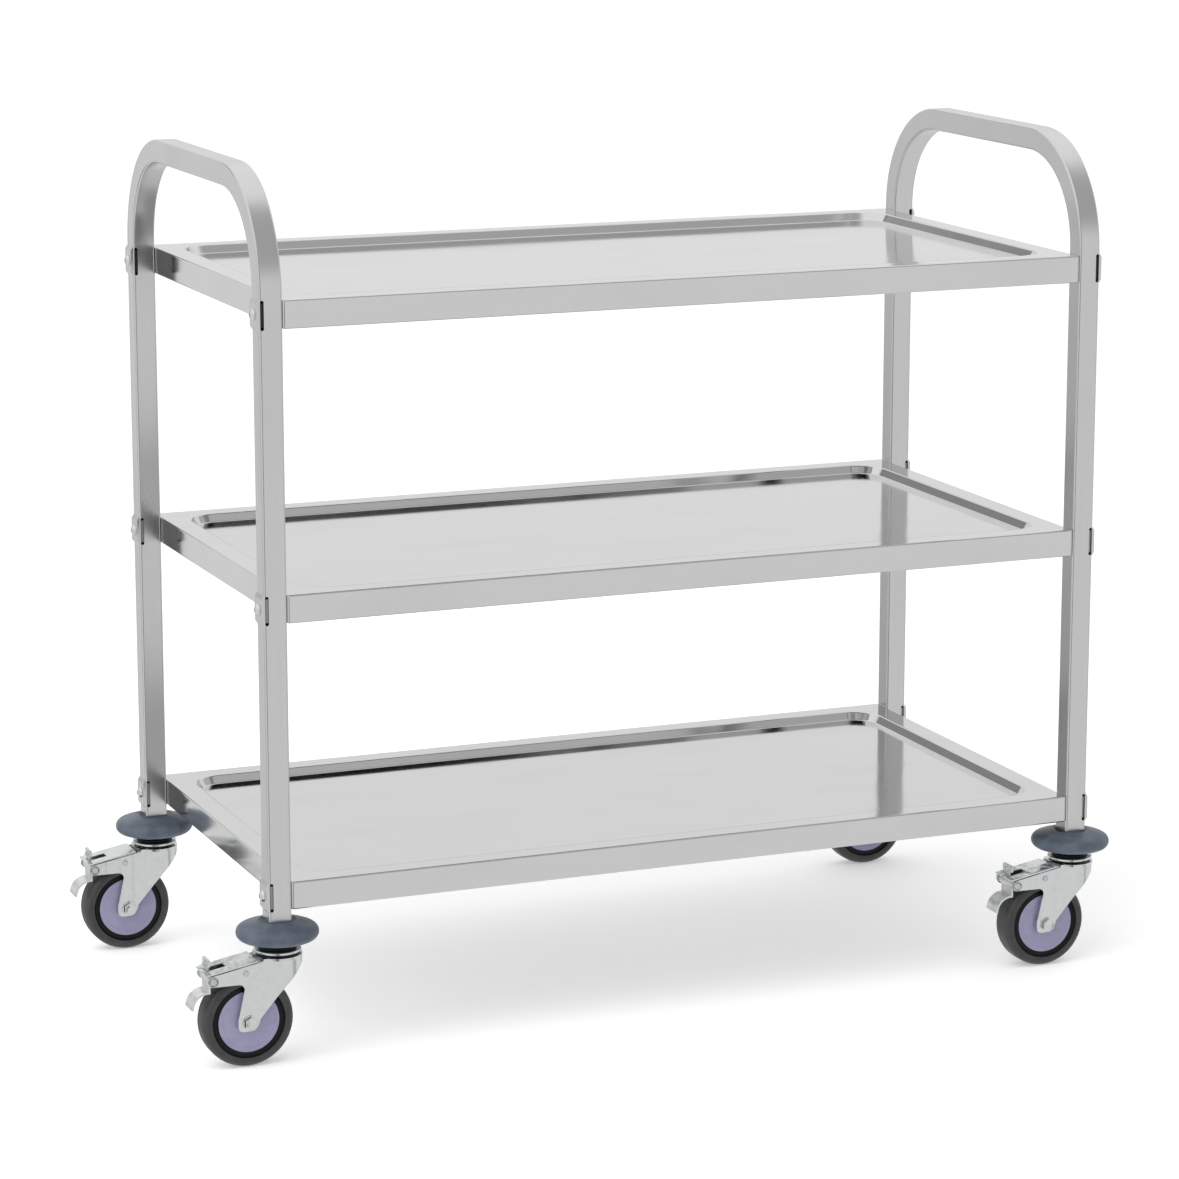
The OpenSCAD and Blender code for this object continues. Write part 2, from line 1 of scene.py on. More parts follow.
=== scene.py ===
"""Looks of a three-shelf service trolley: polished sheet shelves between end frames of
bent square tube, on four braked swivel casters under round rubber bumpers."""

import json
import math

import bmesh
import bpy
from mathutils import Matrix, Vector


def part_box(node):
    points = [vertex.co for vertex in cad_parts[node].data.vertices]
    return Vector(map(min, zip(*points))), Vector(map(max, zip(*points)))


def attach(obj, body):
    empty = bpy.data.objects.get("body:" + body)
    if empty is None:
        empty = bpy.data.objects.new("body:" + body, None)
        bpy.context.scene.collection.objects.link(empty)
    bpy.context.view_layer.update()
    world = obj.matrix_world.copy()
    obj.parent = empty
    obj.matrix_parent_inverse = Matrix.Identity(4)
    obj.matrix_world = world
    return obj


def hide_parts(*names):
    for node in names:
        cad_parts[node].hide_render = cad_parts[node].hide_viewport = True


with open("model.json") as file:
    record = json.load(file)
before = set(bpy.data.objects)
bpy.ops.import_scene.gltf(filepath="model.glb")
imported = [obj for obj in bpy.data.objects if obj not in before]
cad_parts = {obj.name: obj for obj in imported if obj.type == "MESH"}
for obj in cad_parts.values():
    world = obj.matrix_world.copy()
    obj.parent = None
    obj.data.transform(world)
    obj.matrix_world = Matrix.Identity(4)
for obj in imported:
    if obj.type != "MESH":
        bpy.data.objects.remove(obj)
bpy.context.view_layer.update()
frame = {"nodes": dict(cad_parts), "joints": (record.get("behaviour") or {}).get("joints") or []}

MM = 0.001
CORNERS = ("fl", "fr", "bl", "br")
JOINTS = {j["name"]: Vector(j["pos_m"]) / MM for j in frame["joints"]}

# Sizes in millimetres, as the frame has them
SHEET = 1.2
RIM_FOLD = 2.0
RIM_CORNER = 3.0
HEM = 10.0
FLANGE = 26.0
PAN_DEPTH = 9.0
PAN_RUN = 5.0
PAN_CORNER = 36.0
PAN_TOP_FOLD = 2.2
PAN_FOOT_FOLD = 1.4
TUBE = 25.0
TOP_JOINT_REACH = 70.0
HANDLE_BEND = 125.0
STEM_HOLE = 12.5
CUP_BORE_R = 6.05
CUP_PLATE_R = 19.6
WHEEL_D = 100.0
WHEEL_W = 30.0
FORK_OUT = 19.7

# Middle of the round end of a fork's leg, back from the axle and above it
FOOT_BACK = 1.5
FOOT_RISE = 3.0

# Half the floor's side in metres. The backdrop stands a little inside its edge.
FLOOR_REACH = 30.0


# ------------------------------------------------------------------ shader sums

class Value:
    """A shader value that plain Python sums can use."""

    def __init__(self, finish, socket):
        self.finish, self.socket = finish, socket

    def __add__(self, other):
        return self.finish.math("ADD", self, other)

    def __sub__(self, other):
        return self.finish.math("SUBTRACT", self, other)

    def __rsub__(self, other):
        return self.finish.math("SUBTRACT", other, self)

    def __mul__(self, other):
        return self.finish.math("MULTIPLY", self, other)

    __radd__ = __add__
    __rmul__ = __mul__

    def clamped(self):
        return self.finish.math("MINIMUM", self.finish.math("MAXIMUM", self, 0.0), 1.0)


class Shading:
    """A tree of shader nodes with the few sums and patterns used here."""

    def __init__(self, owner, coords):
        owner.use_nodes = True
        self.tree = owner.node_tree
        self.coords = self.node("ShaderNodeTexCoord").outputs[coords]

    def node(self, kind, settings=None, sockets=None):
        made = self.tree.nodes.new(kind)
        for key, value in (settings or {}).items():
            setattr(made, key, value)
        for key, value in (sockets or {}).items():
            self.put(made.inputs[key], value)
        return made

    def put(self, socket, value):
        value = value.socket if isinstance(value, Value) else value
        if isinstance(value, bpy.types.NodeSocket):
            self.tree.links.new(value, socket)
        else:
            socket.default_value = value

    def math(self, operation, *values):
        made = self.node("ShaderNodeMath", {"operation": operation}, dict(enumerate(values)))
        return Value(self, made.outputs[0])

    def stretched(self, factors, source=None):
        return self.node("ShaderNodeMapping", None, {
            "Vector": source or self.coords, "Scale": factors}).outputs[0]

    def noise(self, scale, stretch=(1, 1, 1), detail=3.0, source=None, soft=0.5):
        made = self.node("ShaderNodeTexNoise", None, {
            "Vector": self.stretched(stretch, source), "Scale": scale, "Detail": detail,
            "Roughness": soft})
        return Value(self, made.outputs["Fac"])

    def ramp(self, value, low, high):
        """0 below low, 1 above high, and smooth between them."""
        made = self.node("ShaderNodeMapRange", {"interpolation_type": "SMOOTHSTEP"}, {
            "Value": value, "From Min": low, "From Max": high})
        return Value(self, made.outputs["Result"])

    def mix(self, share, first, second):
        made = self.node("ShaderNodeMix", {"data_type": "RGBA"}, {0: share, 6: first, 7: second})
        return made.outputs[2]

    def relief(self, height, distance, under=None):
        sockets = {"Height": height, "Distance": distance}
        if under is not None:
            sockets["Normal"] = under
        return self.node("ShaderNodeBump", None, sockets).outputs[0]


class Finish(Shading):
    """One surface finish over a Principled shader."""

    def __init__(self, name, **constants):
        self.material = bpy.data.materials.new(name)
        super().__init__(self.material, "Object")
        self.shader = self.tree.nodes["Principled BSDF"]
        for socket, value in constants.items():
            self.shader.inputs[socket.replace("_", " ")].default_value = value

    def wear(self, colour=None, roughness=None, normal=None):
        for socket, value in (("Base Color", colour), ("Roughness", roughness), ("Normal", normal)):
            if value is not None:
                self.put(self.shader.inputs[socket], value)
        return self.material


def grey(level, tint=(1.0, 1.0, 1.0)):
    return (level * tint[0], level * tint[1], level * tint[2], 1.0)


def polished_sheet():
    """Bright rolled sheet: a near mirror with rolling lines, soft waves and faint smears."""
    f = Finish("polished_sheet", Metallic=1.0)
    lines = f.noise(30.0, (1.0, 60.0, 60.0), 4.0)
    smears = f.ramp(f.noise(7.0, (1.0, 2.2, 2.2), 4.0, soft=0.6), 0.42, 0.75)
    waves = f.noise(5.0, (0.5, 1.0, 1.0), 1.0)
    colour = f.mix(smears * 0.5 + lines * 0.3, grey(0.700), grey(0.655))
    rough = 0.075 + lines * 0.03 + smears * 0.035
    wavy = f.relief(waves, 0.0016)
    return f.wear(colour, rough, f.relief(lines, 0.00001, under=wavy))


def satin_tube():
    """Belt-polished tube: fine grain that runs along the tube round its bends."""
    f = Finish("satin_tube", Metallic=1.0)
    along = f.node("ShaderNodeAttribute", {"attribute_name": "grain"}).outputs["Vector"]
    grain = f.noise(1.0, (1400.0, 1400.0, 14.0), 3.0, source=along)
    bands = f.noise(1.0, (160.0, 160.0, 3.0), 2.0, source=along)
    smears = f.ramp(f.noise(11.0, (1.0, 1.0, 0.6), 3.0), 0.45, 0.8)
    colour = f.mix(grain * 0.5 + bands * 0.5, grey(0.70), grey(0.62))
    rough = 0.20 + grain * 0.05 + bands * 0.04 + smears * 0.05
    return f.wear(colour, rough, f.relief(grain, 0.000006))


def zinc_plate(name, tint, base, rough_base):
    """Bright zinc plate: cool blotches over pressed steel, with fine press marks."""
    f = Finish(name, Metallic=1.0)
    blotches = f.noise(120.0, detail=4.0, soft=0.6)
    marks = f.noise(60.0, (1.0, 1.0, 9.0), 3.0)
    press = f.noise(1.0, (85.0, 60.0, 5.0), 1.0)
    specks = f.ramp(f.noise(900.0, detail=2.0), 0.62, 0.75)
    colour = f.mix(blotches * 0.7 + specks * 0.2, grey(base * 1.08, tint), grey(base * 0.88, tint))
    rough = rough_base + blotches * 0.10 + marks * 0.06
    soft = f.relief(blotches, 0.00012, under=f.relief(press, 0.0016))
    return f.wear(colour, rough, f.relief(marks, 0.00004, under=soft))


def turned_steel(name, base, rough_base):
    """Machined or rolled steel: fine rings and a few dull spots."""
    f = Finish(name, Metallic=1.0)
    fine = f.noise(700.0, (1.0, 1.0, 6.0), 2.0)
    spots = f.ramp(f.noise(150.0, detail=3.0), 0.5, 0.7)
    colour = f.mix(fine * 0.5 + spots * 0.5, grey(base), grey(base * 0.8))
    return f.wear(colour, rough_base + fine * 0.08 + spots * 0.08, f.relief(fine, 0.00002))


def moulded(name, light, dark, rough_base, grain, relief, patch=60.0, patch_share=0.7,
            shine=0.5):
    """Moulded rubber or plastic: a fine skin texture under soft cloudy patches."""
    f = Finish(name, Specular_IOR_Level=shine)
    skin = f.noise(grain, detail=3.0)
    patches = f.ramp(f.noise(patch, detail=4.0, soft=0.6), 0.3, 0.7)
    dust = f.ramp(f.noise(grain * 0.6, detail=2.0), 0.66, 0.78)
    colour = f.mix((patches * patch_share + dust * 0.3).clamped(), dark, light)
    rough = rough_base + skin * 0.12 - patches * 0.05
    return f.wear(colour, rough, f.relief(skin, relief))


def spacer_block_and_slot_shade():
    """Spacer blocks in the joints: dull alloy lower down, and under the top shelf painted near-black
    as the shade in the slots.
    """
    f = Finish("spacer_block_and_slot_shade")
    height = Value(f, f.node("ShaderNodeSeparateXYZ", None, {"Vector": f.coords}).outputs["Z"])
    top_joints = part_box("top_shelf")[0].z - TOP_JOINT_REACH * MM
    alloy_else_painted_shade = 1 - f.ramp(height, top_joints - 0.01, top_joints + 0.01)
    fine = f.noise(700.0, (1.0, 1.0, 6.0), 2.0)
    tone = f.mix(fine, grey(0.42), grey(0.32))
    f.put(f.shader.inputs["Metallic"], alloy_else_painted_shade)
    # Painted shade: above the top joints the blocks are near-black, standing in for the shade in the
    # slots under the top shelf.
    return f.wear(f.mix(alloy_else_painted_shade, grey(0.006), tone), 0.38 + fine * 0.1, f.relief(fine, 0.00003))


SHEET_FINISH = polished_sheet()
TUBE_FINISH = satin_tube()
ZINC = zinc_plate("zinc_plate", (0.955, 1.0, 0.995), 0.74, 0.16)
PALE_ZINC = zinc_plate("pale_zinc", (0.975, 1.0, 0.985), 0.80, 0.30)
BRIGHT_STEEL = turned_steel("bright_fasteners", 0.76, 0.09)
PIN_STEEL = turned_steel("pin_steel", 0.66, 0.22)
SPACER_BLOCK_AND_SLOT_SHADE = spacer_block_and_slot_shade()
SLATE_RUBBER = moulded("slate_rubber", (0.115, 0.142, 0.182, 1), (0.066, 0.086, 0.118, 1), 0.36,
                       1100.0, 0.00006, patch=55.0)
TYRE_RUBBER = moulded("tyre_rubber", (0.050, 0.050, 0.053, 1), (0.036, 0.036, 0.038, 1), 0.44,
                      1500.0, 0.00004, patch=70.0)
# Black rubber for the seals and plugs; the same finish paints the shade at the cups' lower edges and
# in the groove between hubs and tyres.
BLACK_RUBBER_AND_PAINTED_SHADE = moulded("black_rubber", (0.008, 0.008, 0.009, 1), (0.004, 0.004, 0.005, 1), 0.28,
                       1600.0, 0.00003, shine=0.22)
HUB_PLASTIC = moulded("hub_plastic", (0.335, 0.325, 0.480, 1), (0.275, 0.268, 0.410, 1), 0.34,
                      1300.0, 0.00003, patch=90.0, patch_share=0.6)


# ------------------------------------------------------------------ mesh helpers

def joined(*parts):
    """One mesh from several."""
    whole = bmesh.new()
    for part in parts:
        mesh = bpy.data.meshes.new("part")
        part.to_mesh(mesh)
        part.free()
        whole.from_mesh(mesh)
        bpy.data.meshes.remove(mesh)
    return whole


def moved(bm, x=0.0, y=0.0, z=0.0):
    bmesh.ops.translate(bm, verts=bm.verts, vec=(x, y, z))
    return bm


def turned(bm, degrees, axis):
    bmesh.ops.rotate(bm, verts=bm.verts, cent=(0, 0, 0),
                     matrix=Matrix.Rotation(math.radians(degrees), 3, axis))
    return bm


def round_face(bm, length, width, radius, steps, z=0.0):
    """A flat rectangle with round corners, facing up. Returns its face."""
    made = bmesh.ops.create_grid(bm, x_segments=1, y_segments=1, size=0.5,
                                 matrix=Matrix.Translation((0, 0, z)))["verts"]
    bmesh.ops.scale(bm, verts=made, vec=(length, width, 1.0))
    cut = bmesh.ops.bevel(bm, geom=made, offset=radius, offset_type="OFFSET", segments=steps,
                          profile=0.5, affect="VERTICES", clamp_overlap=False, material=-1)
    face = max({f for v in cut["verts"] for f in v.link_faces}, key=lambda f: f.calc_area())
    if face.normal.z < 0:
        face.normal_flip()
    return face


def inset(bm, face, thickness, depth=0.0):
    bmesh.ops.inset_individual(bm, faces=[face], thickness=thickness, depth=depth,
                               use_even_offset=True)


def arc(x, z, radius, start, end, steps=6):
    """Points of an arc, in degrees."""
    return [(x + radius * math.cos(math.radians(start + (end - start) * k / steps)),
             z + radius * math.sin(math.radians(start + (end - start) * k / steps)))
            for k in range(steps + 1)]


def lathe(profile, steps=96, axis="Z", closed=True):
    """Turns a section, given as points of radius and height, round an axis."""
    bm = bmesh.new()
    verts = [bm.verts.new((max(r, 0.0), 0.0, z)) for r, z in profile]
    pairs = list(zip(verts, verts[1:])) + ([(verts[-1], verts[0])] if closed else [])
    edges = [bm.edges.new(pair) for pair in pairs]
    bmesh.ops.spin(bm, geom=verts + edges, cent=(0, 0, 0), axis=(0, 0, 1), angle=math.tau,
                   steps=steps, use_merge=True)
    bmesh.ops.remove_doubles(bm, verts=bm.verts, dist=1e-4)
    if axis == "Y":
        turned(bm, 90, "X")
    bmesh.ops.recalc_face_normals(bm, faces=bm.faces)
    return bm


def hex_head(across, height, chamfer):
    """Hexagonal head with its outer edges turned off, standing on its own plane."""
    bm = bmesh.new()
    radius = across / 2 / math.cos(math.radians(30))
    bmesh.ops.create_cone(bm, cap_ends=True, segments=6, radius1=radius, radius2=radius,
                          depth=height, matrix=Matrix.Translation((0, 0, height / 2)))
    top = [e for e in bm.edges if all(v.co.z > height - 0.01 for v in e.verts)]
    bmesh.ops.bevel(bm, geom=top, offset=chamfer, offset_type="OFFSET", segments=3, profile=0.5,
                    affect="EDGES", clamp_overlap=True, material=-1)
    return bm


def copied(node):
    """A merged copy of one of the frame's meshes, in millimetres."""
    bm = bmesh.new()
    bm.from_mesh(frame["nodes"][node].data)
    bmesh.ops.scale(bm, verts=bm.verts, vec=(1 / MM,) * 3)
    bmesh.ops.remove_doubles(bm, verts=bm.verts, dist=0.002)
    bmesh.ops.dissolve_degenerate(bm, edges=bm.edges, dist=0.002)
    bmesh.ops.dissolve_limit(bm, angle_limit=math.radians(0.4), use_dissolve_boundaries=False,
                             verts=bm.verts, edges=bm.edges)
    return bm


def piece(bm, name, body, finish, stands_for=(), sharp=32.0, at=None, edge=0.0,
          wall=0.0, second=None):
    """Makes a finished object from a mesh in millimetres, and says what it rides on."""
    if at is not None:
        moved(bm, at.x, at.y, at.z)
    bmesh.ops.scale(bm, verts=bm.verts, vec=(MM,) * 3)
    for f in bm.faces:
        f.smooth = True
    for e in bm.edges:
        e.smooth = len(e.link_faces) != 2 or e.calc_face_angle(0.0) < math.radians(sharp)
    mesh = bpy.data.meshes.new(name)
    bm.to_mesh(mesh)
    bm.free()
    mesh.materials.append(finish)
    if second:
        mesh.materials.append(second)
    made = bpy.data.objects.new(name, mesh)
    bpy.context.scene.collection.objects.link(made)
    if wall:
        skin = made.modifiers.new("wall", "SOLIDIFY")
        skin.thickness, skin.offset = wall * MM, -1.0
        skin.use_even_offset = skin.use_quality_normals = True
    if edge:
        rounding = made.modifiers.new("edges", "BEVEL")
        rounding.width, rounding.segments = edge * MM, 2
        rounding.limit_method, rounding.angle_limit = "ANGLE", math.radians(38)
        rounding.use_clamp_overlap = True
        rounding.harden_normals = False
    shading = made.modifiers.new("shading", "WEIGHTED_NORMAL")
    shading.keep_sharp = True
    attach(made, body)
    if stands_for:
        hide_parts(*stands_for)
    return made


# ------------------------------------------------------------------ shelves

def fold_steps(radius, turn, steps):
    """Steps inwards and downwards along an arc that turns from level to this slope."""
    angles = [math.radians(turn) * k / steps for k in range(steps + 1)]
    return [(radius * (math.sin(b) - math.sin(a)), radius * (math.cos(b) - math.cos(a)))
            for a, b in zip(angles, angles[1:])]


def shelf(name):
    """One pressed shelf: hem, folded rim with relief notches, flange, stepped pan."""
    low, high = (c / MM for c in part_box(name))
    size, centre = high - low, (high + low) / 2
    rim_steps, fold_rows, open_fold_steps, foot_fold_steps = 14, 5, 5, 6
    bm = bmesh.new()
    top = round_face(bm, size.x, size.y, RIM_CORNER, rim_steps, high.z - RIM_FOLD)
    wall = bmesh.ops.extrude_edge_only(bm, edges=list(top.edges))["geom"]
    foot_verts = [g for g in wall if isinstance(g, bmesh.types.BMVert)]
    bmesh.ops.translate(bm, verts=foot_verts, vec=(0, 0, 2 * RIM_FOLD - size.z))
    foot_edges = [e for e in bm.edges if all(v in foot_verts for v in e.verts)]
    foot = bmesh.ops.edgeloop_fill(bm, edges=foot_edges)["faces"][0]
    foot.normal_update()
    if foot.normal.z > 0:
        foot.normal_flip()
    rows = [math.radians(90) * k / fold_rows for k in range(fold_rows + 1)]
    for a, b in zip(rows, rows[1:]):
        run = RIM_FOLD * (math.cos(a) - math.cos(b))
        rise = RIM_FOLD * (math.sin(b) - math.sin(a))
        inset(bm, foot, run, rise)
        inset(bm, top, run, rise)
    # The hem's round corners shrink almost to points, which are merged before it goes on in
    corner = RIM_CORNER - RIM_FOLD
    to_points = corner * 0.98
    inset(bm, foot, to_points)
    bmesh.ops.remove_doubles(bm, verts=list(foot.verts), dist=corner * 0.6)
    foot = min(bm.faces, key=lambda f: f.normal.z * f.calc_area())
    top = max(bm.faces, key=lambda f: f.normal.z * f.calc_area())
    inset(bm, foot, HEM - RIM_FOLD - to_points)
    bmesh.ops.delete(bm, geom=[foot], context="FACES_ONLY")
    flange_edges = list(top.edges)
    bmesh.ops.delete(bm, geom=[top], context="FACES_ONLY")

    # The pan's wall slopes between two folds, whose arcs start and end this far from its corners
    slope = math.degrees(math.atan2(PAN_DEPTH, PAN_RUN))
    lead = math.tan(math.radians(slope / 2))
    start, end = PAN_TOP_FOLD * lead, PAN_FOOT_FOLD * lead
    pan = round_face(bm, size.x - 2 * FLANGE + 2 * start, size.y - 2 * FLANGE + 2 * start,
                     PAN_CORNER + start, rim_steps, high.z)
    pan_edges = list(pan.edges)
    for run, drop in fold_steps(PAN_TOP_FOLD, slope, open_fold_steps):
        inset(bm, pan, run, drop)
    straight = math.hypot(PAN_RUN, PAN_DEPTH) - start - end
    inset(bm, pan, straight * math.cos(math.radians(slope)),
          -straight * math.sin(math.radians(slope)))
    for run, drop in reversed(fold_steps(PAN_FOOT_FOLD, slope, foot_fold_steps)):
        inset(bm, pan, run, drop)
    bmesh.ops.bridge_loops(bm, edges=flange_edges + pan_edges)

    # Relief notches: the small faces of the top fold are left out round each corner
    notch, notch_top, small = 1.7, 0.02, 4.0
    notch_foot = RIM_FOLD - 0.1
    for f in [f for f in bm.faces if f.calc_area() < small]:
        c = f.calc_center_median()
        if (abs(c.x) > size.x / 2 - notch and abs(c.y) > size.y / 2 - notch
                and high.z - notch_foot < c.z < high.z - notch_top):
            bm.faces.remove(f)
    loose = [e for e in bm.edges if not e.link_faces]
    bmesh.ops.delete(bm, geom=loose, context="EDGES")
    bmesh.ops.recalc_face_normals(bm, faces=bm.faces)
    if max(bm.faces, key=lambda f: f.calc_area()).normal.z < 0:
        bmesh.ops.reverse_faces(bm, faces=bm.faces)
    piece(bm, f"{name}_sheet", "root", SHEET_FINISH, (name,), sharp=50.0,
          at=Vector((centre.x, centre.y, 0)), wall=SHEET)


for shelf_name in ("top_shelf", "middle_shelf", "lower_shelf"):
    shelf(shelf_name)


# ------------------------------------------------------------------ end frames

def end_frame(name):
    """Bent tube frame with softened pads and slots. Its grain follows the tube round its bends."""
    low, high = (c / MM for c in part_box(name))
    bm = copied(name)
    middle_x, side = (low.x + high.x) / 2, (high.y - low.y) / 2
    bend_z, bend_y = high.z - HANDLE_BEND, side - HANDLE_BEND
    grain = bm.verts.layers.float_vector.new("grain")
    for v in bm.verts:
        y, z = abs(v.co.y), v.co.z
        if z <= bend_z:
            across, along = y - side, z
        elif y > bend_y:
            dy, dz = y - bend_y, z - bend_z
            across, along = math.hypot(dy, dz) - HANDLE_BEND, bend_z + math.atan2(dz, dy) * HANDLE_BEND
        else:
            across, along = z - high.z, bend_z + HANDLE_BEND * math.pi / 2 + bend_y - y
        v[grain] = Vector((v.co.x - middle_x, across, along)) * MM
    piece(bm, f"{name}_tube", "root", TUBE_FINISH, (name,), edge=0.35)


for frame_name in ("left_frame", "right_frame"):
    end_frame(frame_name)

piece(copied("frame_bolts"), "frame_bolt_heads", "root", BRIGHT_STEEL,
      ("frame_bolts",), edge=0.25)


# ------------------------------------------------------------------ caster heads

def bumper(corner):
    """Round bumper: a lens with a soft edge, a socket for the post and a moulding line."""
    low, high = (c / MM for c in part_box(f"bumper_{corner}"))
    centre, radius, crown = (low + high) / 2, (high.x - low.x) / 2, high.z - low.z
    edge, mid, bore = 7.5, 9.0, 6.2
    socket, socket_corner, depth = TUBE + 0.6, 2.4, 2.0
    section = [(bore, 0.0), (23.4, 0.0), (24.4, 0.3), (30.0, 0.75)]
    section += arc(radius - edge, mid, edge, -84, -3, 12)
    section += [(radius - 0.25, mid), (radius - 0.02, mid + 0.35)]
    section += arc(radius - edge, mid, edge, 4, 66, 10)
    rim_x, rim_z = section[-1]
    brow_x, brow_z, rows, fullness = 21.5, crown - 0.5, 8, 0.86
    for k in range(1, rows):
        t = k / rows
        section.append((rim_x + (brow_x - rim_x) * t, rim_z + (brow_z - rim_z) * t ** fullness))
    section += [(20.9, crown - 0.15), (20.0, crown)]
    bm = lathe(section, closed=False)
    mouth = [e for e in bm.edges if e.is_boundary
             and all(v.co.z > crown - 0.01 for v in e.verts)]
    seat = round_face(bm, socket, socket, socket_corner, 23, crown)
    seat_edges = list(seat.edges)
    inset(bm, seat, 0.01, -depth)
    bmesh.ops.bridge_loops(bm, edges=mouth + seat_edges)
    bmesh.ops.recalc_face_normals(bm, faces=bm.faces)
    core = lathe([(bore, 0.0), (STEM_HOLE / 2, 0.02), (STEM_HOLE / 2, crown - depth + 0.02),
                  (bore, crown - depth)], 48, closed=False)
    piece(joined(bm, core), f"bumper_{corner}_rubber", "root", SLATE_RUBBER,
          (f"bumper_{corner}",), sharp=40.0, at=Vector((centre.x, centre.y, low.z)))


def cup(corner):
    """Pressed bearing cup with a rolled lip, its lower outer edge painted black as the shade in the
    gap over the fork crown, and a neck up to the bumper.
    """
    low, high = (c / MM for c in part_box(f"cup_{corner}"))
    centre, radius = (low + high) / 2, (high.x - low.x) / 2
    lip, roll, shade_z = 0.8, 1.4, 1.6
    section = [(CUP_BORE_R, 0.0), (12.4, 0.0), (12.4, 4.0), (CUP_PLATE_R, 4.0), (CUP_PLATE_R, 0.0),
               (22.9, 0.0), (23.3, 0.3), (23.4, 1.5)]
    section += arc(radius - lip, 2.2, lip, -90, 0, 5)
    section += arc(radius - roll, 3.2, roll, 0, 78, 7)
    section += [(21.6, 4.75), (20.9, 5.0), (14.0, 5.0), (14.0, 11.0), (17.0, 11.0), (17.0, 12.6),
                (CUP_BORE_R, 12.6)]
    bm = lathe(section)
    # Painted shade: the faces below shade_z outside the plate get the black finish, for the dark gap
    # over the fork crown.
    for f in bm.faces:
        c = f.calc_center_median()
        if c.z < shade_z and math.hypot(c.x, c.y) > CUP_PLATE_R + 0.1:
            f.material_index = 1
    piece(bm, f"cup_{corner}_pressed", "root", ZINC, (f"cup_{corner}",),
          at=Vector((centre.x, centre.y, low.z)), second=BLACK_RUBBER_AND_PAINTED_SHADE)


def seals():
    """The four seal rings, each with two lips."""
    low, high = (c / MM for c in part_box("seal_rings"))
    rings = []
    bore, lip = 14.05, 0.9
    section = [(bore, 0.0)] + arc(19.6, 0.9, lip, -90, 0, 4) + arc(19.6, 1.9, lip, 0, 80, 4)
    section += [(18.9, 3.0), (18.9, 3.2)] + arc(19.5, 4.3, lip, -80, 0, 4)
    section += arc(19.5, 5.1, lip, 0, 90, 4) + [(bore, 6.0)]
    for c in CORNERS:
        at = JOINTS[f"swivel_{c}"]
        rings.append(moved(lathe(section), at.x, at.y, low.z))
    piece(joined(*rings), "seal_ring_lips", "root", BLACK_RUBBER_AND_PAINTED_SHADE, ("seal_rings",))


# ------------------------------------------------------------------ forks and brakes

def squared_foot(bm, axle_at):
    """Squares the lower rear corner of the round feet of a fork, with a soft corner left on it."""
    middle_x, middle_z = axle_at.x - FOOT_BACK, axle_at.z + FOOT_RISE
    lowest = min(v.co.z for v in bm.verts)
    radius, power = middle_z - lowest, 5
    for v in bm.verts:
        x, z = v.co.x - middle_x, v.co.z - middle_z
        reach = math.hypot(x, z)
        if x < 0 and z < 0 and abs(reach - radius) < 0.4:
            square = (abs(x / reach) ** power + abs(z / reach) ** power) ** (-1 / power)
            v.co.x, v.co.z = middle_x + x * square, middle_z + z * square
    return bm


def fork(corner):
    """Fork, the brake strip in its arm, and the pivot and anchor pins."""
    body = f"swivel_{corner}"
    foot = squared_foot(copied(f"fork_{corner}"), JOINTS[f"roll_{corner}"])
    piece(foot, f"fork_{corner}_pressed", body, ZINC, (f"fork_{corner}",), edge=0.6)
    piece(copied(f"strip_{corner}"), f"strip_{corner}_spring", body, ZINC,
          (f"strip_{corner}",), edge=0.4)
    piece(copied(f"pins_{corner}"), f"pins_{corner}_riveted", body, PIN_STEEL,
          (f"pins_{corner}",), edge=0.5)


def axle(corner):
    """Axle bolt: a chamfered hexagonal head on a washer, and a nut on the far end."""
    at = JOINTS[f"roll_{corner}"]
    head_stands, across, rod_r, thread_end = 5.3, 13.0, 4.0, 8.6
    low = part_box(f"axle_{corner}")[0] / MM
    cheek = (low.y - at.y) + head_stands
    washer = [(4.2, 0.0), (8.6, 0.0), (8.8, 0.2), (8.8, 0.8), (8.6, 1.0), (4.2, 1.0)]
    dome_r, dome_z = 21.6, 4.62 - 21.0
    cap = [(0.0, 4.2), (5.6, 4.2), (5.5, 4.62)] + arc(0.0, dome_z, dome_r, 75.2, 90, 6)
    head = joined(lathe(washer, 64), moved(hex_head(across, 3.6, 0.6), z=0.9), lathe(cap, 48))
    nut = joined(lathe(washer, 64), moved(hex_head(across, 5.8, 0.7), z=0.9))
    head = moved(turned(head, 90, "X"), y=cheek)
    nut = moved(turned(nut, -90, "X"), y=-cheek)
    end = thread_end - cheek
    rod = lathe([(0.0, cheek), (rod_r, cheek), (rod_r, end - 0.6), (rod_r - 0.6, end), (0.0, end)], 48)
    turned(rod, -90, "X")
    piece(joined(head, nut, rod), f"axle_{corner}_bolt", f"swivel_{corner}",
          BRIGHT_STEEL, (f"axle_{corner}",), at=at, sharp=28.0)


def hub(corner):
    """Wheel hub: a boss, flat faces with a fine moulded groove, and its rim under the tyre painted
    black as the shade in the groove next to the tyre.
    """
    at = JOINTS[f"roll_{corner}"]
    bore, lilac_r = 6.05, 33.4
    half = [(bore, 16.4), (10.4, 16.4), (11.0, 15.9), (11.4, 14.2), (12.2, 13.5), (27.6, 13.5),
            (27.9, 13.3), (28.3, 13.3), (28.6, 13.5)]
    half += arc(32.9, 12.9, 0.6, 90, 10, 4) + [(33.6, 12.1), (35.0, 11.7), (36.98, 11.5)]
    section = half + [(r, -y) for r, y in reversed(half)]
    bm = lathe(section, 128, "Y")
    # Painted shade: past the lilac face the hub is painted black, for the shade in the groove next to
    # the tyre.
    for f in bm.faces:
        c = f.calc_center_median()
        if math.hypot(c.x, c.z) > lilac_r:
            f.material_index = 1
    piece(bm, f"hub_{corner}_moulding", f"wheel_{corner}", HUB_PLASTIC,
          (f"hub_{corner}",), at=at, second=BLACK_RUBBER_AND_PAINTED_SHADE)


